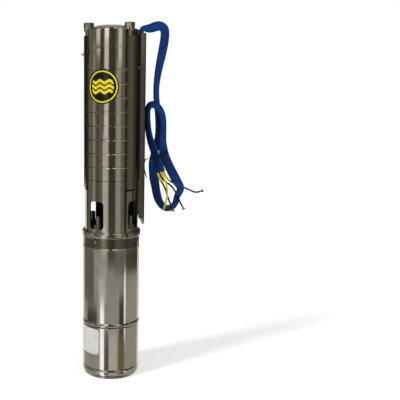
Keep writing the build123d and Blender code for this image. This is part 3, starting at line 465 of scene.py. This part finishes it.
# The loop of the hank: down behind, round the bottom, folded at the right, up, over the top and down in front
hank_points = [
    (75.4, -24.0, 465.2),
    (78.0, -28.0, 446.6),
    (79.8, -30.0, 422.9),
    (78.8, -30.0, 400.8),
    (73.6, -29.0, 378.6),
    (69.8, -28.0, 359.8),
    (71.6, -27.0, 340.9),
    (75.2, -26.0, 322.0),
    (78.2, -26.0, 304.6),
    (83.4, -26.0, 290.7),
    (92.7, -26.0, 281.3),
    (103.8, -26.5, 282.1),
    (111.3, -27.0, 290.7),
    (112.7, -27.5, 302.0),
    (118.1, -26.0, 310.8),
    (119.0, -22.5, 318.9),
    (111.7, -20.5, 329.8),
    (103.3, -19.0, 345.1),
    (94.5, -19.0, 361.8),
    (87.9, -19.0, 378.7),
    (86.0, -19.0, 396.5),
    (87.0, -19.0, 416.8),
    (87.0, -19.0, 435.2),
    (82.7, -18.5, 449.5),
    (73.4, -17.5, 458.9),
    (63.9, -16.0, 459.6),
    (59.6, -15.0, 450.3),
    (60.0, -14.5, 435.3),
    (61.4, -14.0, 416.9),
    (64.9, -13.0, 400.2),
    (71.0, -11.5, 383.5),
    (76.9, -10.0, 367.6),
    (83.0, -9.0, 346.5),
]

# Which way the flat lead's width points at each of those points, from how wide the lead looks there
free_lead_width = [
    (-0.25, -0.97, 0.00),
    (-0.25, -0.97, 0.05),
    (-0.26, -0.86, 0.40),
    (-0.25, -0.66, 0.70),
    (-0.12, -0.35, 0.93),
    (-0.05, -0.20, 0.98),
    (0.35, -0.25, 0.90),
    (0.85, -0.35, 0.41),
    (0.93, -0.37, 0.00),
    (0.92, -0.38, -0.11),
    (0.91, -0.38, -0.15),
    (0.83, -0.54, -0.13),
    (0.69, -0.71, -0.08),
    (0.54, -0.84, -0.03),
    (0.49, -0.87, 0.00),
]
hank_width = [
    (0.49, -0.87, 0.03),
    (0.54, -0.84, 0.02),
    (0.54, -0.84, -0.04),
    (0.54, -0.84, -0.13),
    (0.68, -0.70, -0.20),
    (0.84, -0.53, -0.10),
    (0.91, -0.40, 0.08),
    (0.86, 0.47, 0.22),
    (0.84, 0.46, 0.29),
    (0.60, 0.63, 0.50),
    (0.18, 0.70, 0.69),
    (-0.32, 0.71, 0.62),
    (-0.56, 0.76, 0.34),
    (-0.57, 0.76, 0.30),
    (-0.67, 0.65, 0.36),
    (-0.78, 0.61, -0.14),
    (-0.84, 0.25, -0.32),
    (-0.86, -0.15, -0.37),
    (-0.85, -0.18, -0.37),
    (-0.88, 0.05, -0.28),
    (-0.76, 0.60, -0.05),
    (-0.62, 0.78, 0.04),
    (-0.54, 0.84, -0.03),
    (-0.59, 0.76, -0.28),
    (-0.40, 0.65, -0.65),
    (0.31, 0.78, -0.54),
    (0.39, 0.92, -0.04),
    (0.39, 0.92, 0.06),
    (0.43, 0.89, 0.12),
    (0.59, 0.77, 0.22),
    (0.68, 0.67, 0.30),
    (0.67, 0.67, 0.31),
    (0.94, 0.12, 0.32),
]

lead_width = 16.0 * mm
lead_thickness = 6.0 * mm


def flat_lead_section():
    """A flat four core outline: half the thickness at x swells over each core and rounds off at the edges."""
    x = np.cos(np.linspace(0, math.pi, 22)) * lead_width / 2
    lobes = 0.84 - 0.16 * np.cos(2 * math.pi * x / (lead_width / 4))
    edge = np.sqrt(np.clip(1 - (np.abs(x) / (lead_width / 2)) ** 5, 0, 1))
    y = lead_thickness / 2 * lobes * edge
    return np.concatenate([np.stack([x, y], axis=1), np.stack([x, -y], axis=1)[::-1][1:-1]])


def make_lead():
    """The flat section carried along the whole route; it stands in for the free lead and the loop."""
    route = seen(free_lead_points + hank_points)
    wide = (seen(free_lead_width + hank_width)) / mm
    line = smooth_line(route)
    side = smooth_line(wide)
    vertices, faces, uv = carried(flat_lead_section(), line, side)
    piece = make_piece("flat_lead", vertices, faces, "blue_sheath", uv=uv)
    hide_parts("free_lead", "lead_hank")
    return closed_normals(piece), line


lead, lead_line = make_lead()


# The four cores

jacket_back = np.array([70.0, 388.0])
jacket_end = np.array([83.0, 346.5])
core_plane = -9.0
core_spacing = 3.6
core_lead_in = 9.0
core_radius = 1.5 * mm

core_routes = {
    "brown": [
        (86.5, -10.0, 327.5), (92.3, -10.0, 316.0), (95.6, -10.0, 304.5), (99.6, -9.5, 294.0),
        (103.5, -9.0, 284.5),
    ],
    "black": [
        (90.0, -13.0, 330.0), (98.5, -18.5, 325.0), (107.0, -22.0, 316.0), (113.5, -23.0, 304.5),
        (117.8, -22.5, 293.0), (122.0, -21.0, 286.0),
    ],
    "yellow": [
        (92.2, -7.4, 329.5), (94.6, -6.2, 316.5), (94.6, -6.2, 304.5), (92.0, -7.0, 293.0),
        (88.7, -8.0, 282.0),
    ],
    "blue": [
        (98.5, -9.0, 331.0), (109.0, -9.0, 326.0), (121.5, -9.0, 321.0), (134.0, -9.0, 315.5),
        (144.0, -9.0, 311.2), (152.0, -9.0, 314.0),
    ],
}


def core_points(name):
    """A core's route: square out of the jacket's cut end, then its own way."""
    run = (jacket_end - jacket_back) / np.linalg.norm(jacket_end - jacket_back)
    place = list(core_routes).index(name) - (len(core_routes) - 1) / 2
    start = jacket_end + np.array([-run[1], run[0]]) * place * core_spacing
    turn = start + run * core_lead_in
    first = [(start[0], core_plane, start[1]), (turn[0], core_plane, turn[1])]
    return seen(first + core_routes[name])


def circle_section(radius, count=20):
    """A circle: the radius times the cosine and sine of the turn."""
    turn = np.linspace(0, 2 * math.pi, count, endpoint=False)
    return np.stack([np.cos(turn), np.sin(turn)], axis=1) * radius


def tube_piece(name, line, radius, material):
    """A round tube along a line: each ring is the circle squared to the line."""
    wide = np.broadcast_to(toward * 0.8 + up * 0.3 + across * 0.2, line.shape)
    vertices, faces, uv = carried(circle_section(radius), line, wide)
    return closed_normals(make_piece(name, vertices, faces, material, uv=uv))


wire_radius = 0.36 * mm
wire_count = 13
wire_spread = 3.0 * mm
wire_reach = {"brown": 6.0 * mm, "black": 6.5 * mm, "blue": 4.0 * mm}
sleeve_share = {"brown": 0.24, "blue": 0.26}      # of the core's length, from the jacket
sleeve_radius = core_radius + 0.5 * mm


def strands(name, line, length):
    """Bare wires that fan out from a core's end: each leaves along the core, and its distance from the core's
    middle line grows with the travel to the power 1.6, on its own side."""
    end = line[-1]
    along = unit(line[-1] - line[-3])
    side = unit(np.cross(along, toward))
    other = np.cross(along, side)
    vertices, faces = [], []
    section = circle_section(wire_radius, 6)
    travel = np.linspace(-0.4, 1.0, 8)
    for i in range(wire_count):
        turn = 2 * math.pi * i / wire_count + 0.3 * math.sin(5.0 * i)
        lean = wire_spread * (0.45 + 0.55 * math.sin(1.7 * i + 0.5) ** 2)
        out = math.cos(turn) * side + math.sin(turn) * other
        reach = np.maximum(travel, 0)[:, None]
        place = end + along * length * travel[:, None] + out * (0.75 * mm + lean * reach ** 1.6)
        ring, quads, _ = carried(section, place, np.broadcast_to(side + 0.2 * other, place.shape))
        faces += [tuple(int(v) + len(vertices) for v in f) for f in quads]
        vertices += ring.tolist()
    return closed_normals(make_piece(name, vertices, faces, "copper"))


for colour in core_routes:
    core_line = smooth_line(core_points(colour))
    core = tube_piece(colour + "_core", core_line, core_radius, colour + "_core")
    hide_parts("core_" + colour)
    if colour in sleeve_share:
        sleeve_line = core_line[:int(len(core_line) * sleeve_share[colour])]
        sleeve = colour + "_core_sleeve"
        tube_piece(sleeve, sleeve_line, sleeve_radius, "yellow_core")
    if colour in wire_reach:
        strands(colour + "_core_wires", core_line, wire_reach[colour])


tie_half_height = 1.4      # mm, as are the tie's other sizes
tie_half_thickness = 0.55
tail_half_width = 1.0
tail_half_thickness = 0.5


def oblong(half_width, half_height):
    """The four corners of an oblong section."""
    return np.array([(-1, -1), (1, -1), (1, 1), (-1, 1)]) * (half_width, half_height)


def tie_band():
    """A flat strap drawn round the loop: a rounded oblong that leans with the strands it binds. Its places
    are the signed powers 0.6 and 0.7 of the cosine and sine of the turn, times half its width and depth."""
    middle, lean = (81.5, -18.5, 373.0), math.radians(26)
    turn = np.linspace(0, 2 * math.pi, 64, endpoint=False)
    half_width, half_depth = 15.2, 14.2
    run = np.sign(np.cos(turn)) * np.abs(np.cos(turn)) ** 0.6 * half_width
    depth = np.sign(np.sin(turn)) * np.abs(np.sin(turn)) ** 0.7 * half_depth
    centre = seen(np.stack([
        middle[0] + run * math.cos(lean), middle[1] + depth, middle[2] + run * math.sin(lean),
    ], axis=1))
    upright = unit(seen([(-math.sin(lean), 0.0, math.cos(lean))]))[0]
    tangent = unit(np.roll(centre, -1, axis=0) - np.roll(centre, 1, axis=0))
    outward = np.cross(tangent, upright)
    corners = oblong(tie_half_height, tie_half_thickness)
    rings = np.stack([centre + (a * upright + b * outward) * mm for a, b in corners], axis=1)
    count = len(corners)
    faces = grid_faces(len(centre), count, True).tolist()
    last = (len(centre) - 1) * count
    faces += [[last + i, last + (i + 1) % count, (i + 1) % count, i] for i in range(count)]
    return closed_normals(make_piece("cable_tie", rings.reshape(-1, 3), faces, "nylon", smooth=False))


def tie_tail():
    """The tie's loose end, a narrow strip that sticks out to the left and hangs down."""
    line = smooth_line(seen([
        (67.5, -8.0, 367.0), (60.5, -8.0, 370.5), (55.5, -9.0, 366.0), (54.0, -10.0, 352.0),
        (59.5, -10.0, 337.0),
    ]))
    wide = np.broadcast_to(toward * 0.8 + across * 0.5, line.shape)
    vertices, faces, _ = carried(oblong(tail_half_width, tail_half_thickness) * mm, line, wide)
    return closed_normals(make_piece("cable_tie_tail", vertices, faces, "nylon"))


tie_pieces = [tie_band(), tie_tail()]


# The pump's own pieces get their finishes; the polished ones and some small parts are the solid's surface
# again, with its doubles merged and its curved faces smooth

finishes = {
    "base_cap": "shell", "lower_shell": "shell", "shell_joint_ring": "shell", "stator_shell": "shell",
    "motor_top_bell": "bell", "suction_interconnector": "suction", "valve_chamber": "sheet",
    "discharge_head": "casting", "cable_guard": "guard", "bell_screws": "ground_steel",
    "motor_studs": "plated_steel", "motor_nuts": "plated_steel", "strap_nuts": "plated_steel",
    "guard_screws": "plated_steel", "impeller_nut": "plated_steel", "coupling": "phosphate",
    "motor_shaft": "ground_steel", "pump_shaft": "ground_steel", "thrust_disc": "ground_steel",
    "valve_disc": "ground_steel", "stator_core": "laminations", "rotor_core": "laminations",
    "stator_windings": "copper_winding", "lower_bearing_housing": "cast_steel", "thrust_plate": "carbon",
    "thrust_pads": "carbon", "motor_bearings": "carbon", "shaft_seal": "rubber", "diaphragm": "rubber",
    "sand_slinger": "rubber", "lead_plug": "rubber", "wear_rings": "rubber", "top_bearing": "rubber",
    "valve_seat": "rubber", "guarded_lead": "shaded_sheath",
}
for number in range(1, 9):
    finishes["stage_bowl_%d" % number] = "sheet"
    finishes["impeller_%d" % number] = "ground_steel"
for number in range(1, 4):
    finishes["strap_%d" % number] = "strip"

polished = ("shell", "casting", "suction", "bell", "sheet", "strip", "guard")
refined = [name for name, finish in finishes.items() if finish in polished]
refined += [
    "strap_nuts", "motor_nuts", "motor_studs", "bell_screws", "guard_screws", "coupling", "valve_disc",
]


chamber_joints = [first_stage + stage_pitch * i for i in range(9)] + [valve_chamber_high]
rolled_ends = {"valve_chamber": (bowl_radius, chamber_joints), "stator_shell": (motor_radius, [bell_low])}
rolled_ends.update({"stage_bowl_%d" % i: (bowl_radius, chamber_joints) for i in range(1, 9)})
roll_rise = 1.0 * mm
roll_depth = 0.8 * mm
touching = 0.01 * mm
crisp_angle = math.radians(32)


def roll_in(mesh, radius, joints):
    """Rolls a tube's ends in: the edge at each joint moves in, and the edge beside it moves off the joint."""
    place = vertex_places(mesh).reshape(-1, 3)
    reach = np.hypot(place[:, 0], place[:, 1])
    joints = np.asarray(joints)
    joint = joints[np.abs(place[:, 2:3] - joints[None]).argmin(axis=1)]
    off = place[:, 2] - joint
    rim = reach > radius - edge_break - touching
    end = rim & (np.abs(off) < touching)
    beside = rim & ~end & (np.abs(off) < edge_break + touching)
    place[end, :2] *= ((radius - roll_depth) / reach[end])[:, None]
    place[beside, 2] = joint[beside] + np.sign(off[beside]) * roll_rise
    mesh.vertices.foreach_set("co", place.ravel())


def open_slots(mesh):
    """Gives the slots for the straps' feet the play that shows below each foot."""
    place = vertex_places(mesh)
    level = place[2::3]
    level[np.abs(level - strap_slot_low) < 2 * touching] -= strap_slot_play
    mesh.vertices.foreach_set("co", place)


def refine(name):
    """The node's surface again, with its doubles merged, round faces smooth and edges crisp."""
    source = nodes[name]
    shape = bmesh.new()
    shape.from_mesh(source.data)
    bmesh.ops.remove_doubles(shape, verts=shape.verts, dist=2e-6)
    mesh = bpy.data.meshes.new(name + "_finished")
    shape.to_mesh(mesh)
    shape.free()
    if name in rolled_ends:
        roll_in(mesh, *rolled_ends[name])
    if name == "suction_interconnector":
        open_slots(mesh)
    mesh.attributes.remove(mesh.attributes["custom_normal"])
    mesh.polygons.foreach_set("use_smooth", np.full(len(mesh.polygons), True))
    mesh.set_sharp_from_angle(angle=crisp_angle)
    mesh.materials.clear()
    mesh.materials.append(materials[finishes[name]])
    piece = bpy.data.objects.new(name + "_finished", mesh)
    bpy.context.scene.collection.objects.link(piece)
    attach(piece, source["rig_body"])
    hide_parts(name)
    return piece


for name, finish in finishes.items():
    if name in refined:
        refine(name)
    else:
        nodes[name].data.materials.clear()
        nodes[name].data.materials.append(materials[finish])


# Badge and label

film_stand = 0.15 * mm
film_thickness = 0.1 * mm


def wrapped(name, angle, height, radius, outline, material):
    """A thin sheet on the pump's side. outline gives x round the wall and z up at (ring, turn); the middle is
    one vertex, and a rim turns back to the wall so that the sheet has an edge."""
    rings, turns = outline.shape[0], outline.shape[1]
    flat = outline.reshape(-1, 2)
    lift = np.full(len(flat), film_stand + film_thickness)
    flat = np.concatenate([flat, outline[-1]])
    lift = np.concatenate([lift, np.full(turns, 0.02 * mm)])
    turn = angle + flat[:, 0] / radius
    reach = radius + lift
    vertices = np.stack([reach * np.cos(turn), reach * np.sin(turn), height + flat[:, 1]], axis=1)
    outer = radius + film_stand + film_thickness
    centre = np.array([[outer * math.cos(angle), outer * math.sin(angle), height]])
    faces = grid_faces(rings + 1, turns, True)[:, ::-1].tolist()
    hub = len(vertices)
    faces += [[hub, i, (i + 1) % turns] for i in range(turns)]
    size = np.abs(outline[-1]).max()
    uv = np.concatenate([flat, [[0.0, 0.0]]]) / (2 * size) + 0.5
    return make_piece(name, np.concatenate([vertices, centre]), faces, material, uv=uv)


def badge_print():
    """A printed film badge: black, with a yellow ring and three yellow waves, under a clear gloss."""
    made, tree, film = surface("printed_film_badge", **{
        "Roughness": 0.3, "Coat Weight": 0.4, "Coat Roughness": 0.12,
    })
    place = node(tree, "ShaderNodeTexCoord").outputs["UV"]
    parts = node(tree, "ShaderNodeSeparateXYZ", {"Vector": place})
    x = math_node(tree, "SUBTRACT", parts.outputs["X"], 0.5)
    y = math_node(tree, "SUBTRACT", parts.outputs["Y"], 0.5)
    squares = [math_node(tree, "MULTIPLY", value, value) for value in (x, y)]
    reach = math_node(tree, "SQRT", math_node(tree, "ADD", *squares))
    outer = math_node(tree, "COMPARE", reach, 0.44, 0.02)
    swing = math_node(tree, "MULTIPLY", math_node(tree, "SINE", math_node(tree, "MULTIPLY", x, 22.0)), 0.035)
    level = math_node(tree, "ADD", y, swing)
    waves = math_node(tree, "COMPARE", level, 0.0, 0.046)
    for middle in (-0.14, 0.14):
        waves = math_node(tree, "ADD", waves, math_node(tree, "COMPARE", level, middle, 0.046))
    inside = math_node(tree, "LESS_THAN", reach, 0.35)
    inked = math_node(tree, "ADD", outer, math_node(tree, "MULTIPLY", waves, inside))
    tree.links.new(ramp(tree, inked, [(0.45, "0b0b0a"), (0.55, "f4e420")]), film.inputs["Base Color"])
    return made


def label_paper():
    """A white polyester label: smooth and satin, with faint handling marks."""
    made, tree, film = surface("white_polyester_label", **{"Roughness": 0.35})
    cloud = noise(tree, stretched(tree, (120.0, 120.0, 120.0)), detail=4.0)
    tree.links.new(ramp(tree, cloud, [(0.3, "d9d7d1"), (0.7, "e8e6e1")]), film.inputs["Base Color"])
    return made


def round_outline(radius):
    """Circles of growing radius: x and z are the ring's radius times the cosine and sine of the turn."""
    rings, turns = 10, 96
    reach = np.linspace(radius / rings, radius, rings)[:, None]
    turn = np.linspace(0, 2 * math.pi, turns, endpoint=False)[None, :]
    return np.stack([reach * np.cos(turn), reach * np.sin(turn)], axis=-1)


def oblong_outline(width, height, corner):
    """A rounded oblong shrunk towards its middle: each ring is the outline times a growing factor."""
    rings, turns = 12, 128
    turn = np.linspace(0, 2 * math.pi, turns, endpoint=False)
    power = 2 * corner
    shape = (np.abs(np.cos(turn)) ** power + np.abs(np.sin(turn)) ** power) ** (-1 / power)
    edge = np.stack([shape * np.cos(turn) * width / 2, shape * np.sin(turn) * height / 2], axis=-1)
    return np.linspace(1 / rings, 1, rings)[:, None, None] * edge[None]


badge_angle = view_angle + math.radians(-20.5)
badge_height = 488.3 * mm
badge_radius = 27.5 * mm
label_angle = view_angle + math.radians(-60.8)
label_height = 63.8 * mm
label_outline = oblong_outline(60 * mm, 45 * mm, 6.0)
wrapped("round_badge", badge_angle, badge_height, bowl_radius, round_outline(badge_radius), badge_print())
wrapped("blank_label", label_angle, label_height, motor_radius, label_outline, label_paper())


# Studio

def emitting(name, code, strength):
    """A material that shines evenly in one colour."""
    made = bpy.data.materials.new(name)
    made.use_nodes = True
    tree = made.node_tree
    tree.nodes.clear()
    glow = node(tree, "ShaderNodeEmission", {"Color": linear(code), "Strength": strength})
    output = node(tree, "ShaderNodeOutputMaterial")
    tree.links.new(glow.outputs["Emission"], output.inputs["Surface"])
    return made


card_radius = 0.9
card_gain = 1.5         # makes up for the light that the steel takes
shades = {
    "white": "f6f3ec", "pale": "bbb6aa", "light": "a39f95", "grey": "868279", "drab": "58544a",
    "dark": "353229", "black": "191711", "green": "5f593a", "blue": "464c50",
}

# The studio that the steel reflects: walls all round, then the panels that stand before them.
# Each has its shade, the turn from the view that it covers (degrees), and its low and high edge (metres).
studio = [
    ("wall_high", "black", -180, 180, 1.30, 3.20),
    ("wall_room", "drab", -180, 180, 0.06, 1.30),
    ("wall_low", "grey", -180, 180, -0.90, 0.06),
    ("ceiling_light_left", "white", -40, -14, 1.30, 3.20),
    ("ceiling_light_right", "white", 8, 37, 1.30, 3.20),
    ("ceiling_glow_left", "light", -68, -40, 1.30, 3.20),
    ("ceiling_glow_right", "light", 37, 92, 1.30, 3.20),
    ("window_left", "pale", -68, -50, 0.62, 1.30),
    ("flag_beside_window", "dark", -50, -34, 0.52, 1.30),
    ("strip_light_left", "light", -38, -14, 0.06, 0.36),
    ("strip_light_left_upper", "pale", -31, -14, 0.36, 0.66),
    ("strip_light_left_top", "white", -30, -14, 0.66, 1.30),
    ("strip_light_far_left", "grey", -84, -74, 0.06, 0.62),
    ("flag_far_left", "dark", -64, -57, 0.06, 0.52),
    ("strip_light_right", "grey", 18, 38, 0.06, 0.60),
    ("strip_light_right_top", "pale", 26, 42, 0.60, 1.30),
    ("flag_centre", "dark", -11, 14, 0.06, 1.30),
    ("flag_left", "black", -150, -118, 0.06, 1.30),
    ("flag_right", "black", 56, 68, 0.06, 1.30),
    ("flag_right_far", "dark", 97, 180, 0.06, 1.30),
    ("collar_light", "white", -38, -22, 0.050, 0.080),
    ("suction_edge_light", "pale", -180, -132, 0.050, 0.215),
    ("bench_left", "drab", -136, -72, -0.12, 0.050),
    ("bench_front", "dark", -13, 16, -0.01, 0.050),
    ("bench_front_right", "drab", 16, 62, -0.03, 0.050),
    ("bench_right", "dark", 62, 140, -0.03, 0.050),
    ("low_soft_light", "light", -50, -20, -0.11, -0.03),
    ("low_flag_left", "dark", -110, -58, -0.21, -0.13),
    ("low_flag_right", "dark", 33, 55, -0.21, -0.09),
    ("low_light_left", "white", -44, -27, -0.90, -0.11),
    ("low_panel_blue", "blue", -27, -8, -0.45, -0.20),
    ("low_panel_light", "light", -8, 24, -0.45, -0.20),
    ("low_panel_green", "green", 30, 56, -0.45, -0.21),
    ("low_edge_light", "white", 54, 60, -0.21, -0.02),
    ("back_light_left", "pale", -180, -136, -0.90, 0.05),
    ("back_light_right", "pale", 132, 180, -0.90, 0.05),
    ("back_light_high_left", "grey", -180, -157, 0.62, 1.30),
    ("back_light_high_right", "grey", 157, 180, 0.62, 1.30),
]


def staged(name, vertices, faces, material):
    """A piece of the studio that only the steel sees."""
    mesh = bpy.data.meshes.new(name)
    mesh.from_pydata(np.asarray(vertices).tolist(), [], np.asarray(faces).tolist())
    mesh.materials.append(material)
    card = bpy.data.objects.new(name, mesh)
    bpy.context.scene.collection.objects.link(card)
    card.visible_camera = False
    card.visible_diffuse = False
    card.visible_transmission = False
    card.visible_shadow = False


def studio_panel(name, shade, start, end, low, high, radius):
    """A strip of an upright cylinder round the pump: the radius times the turn's cosine and sine."""
    turn = view_angle + np.radians(np.linspace(start, end, 49))
    turn, level = np.broadcast_arrays(turn[None], np.array([low, high])[:, None])
    strip = np.stack([radius * np.cos(turn), radius * np.sin(turn), level], axis=-1)
    staged(name, strip.reshape(-1, 3), grid_faces(2, 49, False), emitting(name, shades[shade], card_gain))


for number, panel in enumerate(studio):
    studio_panel(*panel, card_radius - 2 * mm * number)
for name, level, shade in (("lid", 3.2, "dark"), ("base_board", -0.9, "dark")):
    square = np.column_stack([oblong(card_radius, card_radius), np.full(4, level)])
    staged(name, square, [(0, 1, 2, 3)], emitting(name, shades[shade], card_gain))


floor_glow = 0.44
floor_reach = 6.0


def pale_floor():
    """A wide pale floor that is white to the camera and keeps the pump's soft shadow."""
    corners = np.column_stack([oblong(floor_reach, floor_reach), np.zeros(4)])
    mesh = bpy.data.meshes.new("floor")
    mesh.from_pydata(corners.tolist(), [], [(0, 1, 2, 3)])
    made = bpy.data.materials.new("pale_floor")
    made.use_nodes = True
    tree = made.node_tree
    tree.nodes.clear()
    matt = node(tree, "ShaderNodeBsdfDiffuse", {"Color": linear("f4f4f2")})
    path = node(tree, "ShaderNodeLightPath")
    glow = math_node(tree, "MULTIPLY", path.outputs["Is Camera Ray"], floor_glow)
    white = node(tree, "ShaderNodeEmission", {"Color": linear("ffffff"), "Strength": glow})
    summed = node(tree, "ShaderNodeAddShader")
    tree.links.new(matt.outputs["BSDF"], summed.inputs[0])
    tree.links.new(white.outputs["Emission"], summed.inputs[1])
    output = node(tree, "ShaderNodeOutputMaterial")
    tree.links.new(summed.outputs["Shader"], output.inputs["Surface"])
    mesh.materials.append(made)
    floor = bpy.data.objects.new("floor", mesh)
    bpy.context.scene.collection.objects.link(floor)
    floor.visible_glossy = False


pale_floor()


def aimed(lamp, place):
    """Stands a lamp at a place and turns it to the pump's middle."""
    back = unit(np.asarray(place) - np.array([0.0, 0.0, 0.3]))
    side = unit(np.cross(up, back))
    axes = np.column_stack([side, np.cross(back, side), back, place])
    lamp.matrix_world = Matrix([list(row) for row in axes] + [[0, 0, 0, 1]])
    lamp.visible_glossy = False
    bpy.context.scene.collection.objects.link(lamp)


key_light = bpy.data.lights.new("key", "SUN")
key_light.energy = 1.9
key_light.angle = math.radians(12)
aimed(bpy.data.objects.new("key", key_light), 2.0 * (toward * 0.66 - across * 1.0 + up * 1.1) + up * 0.3)
side_light = bpy.data.lights.new("side", "AREA")
side_light.size = 1.0
side_light.energy = 26.0
aimed(bpy.data.objects.new("side", side_light), toward * 1.1 + across * 1.9 + up * 1.3)


def studio_world():
    """White behind the pump and in the steel; a calm pale light from all round on everything else."""
    world = bpy.data.worlds.new("studio")
    bpy.context.scene.world = world
    world.use_nodes = True
    tree = world.node_tree
    tree.nodes.clear()
    path = node(tree, "ShaderNodeLightPath")
    shown = math_node(tree, "MAXIMUM", path.outputs["Is Camera Ray"], path.outputs["Is Glossy Ray"])
    shown = math_node(tree, "MAXIMUM", shown, path.outputs["Is Transmission Ray"])
    white = node(tree, "ShaderNodeBackground", {"Color": linear("ffffff"), "Strength": 1.0})
    calm = node(tree, "ShaderNodeBackground", {"Color": linear("f2f4f8"), "Strength": 0.25})
    mixed = node(tree, "ShaderNodeMixShader", {"Fac": shown})
    tree.links.new(calm.outputs["Background"], mixed.inputs[1])
    tree.links.new(white.outputs["Background"], mixed.inputs[2])
    output = node(tree, "ShaderNodeOutputWorld")
    tree.links.new(mixed.outputs["Shader"], output.inputs["Surface"])


studio_world()
bpy.context.scene.view_settings.view_transform = "Standard"
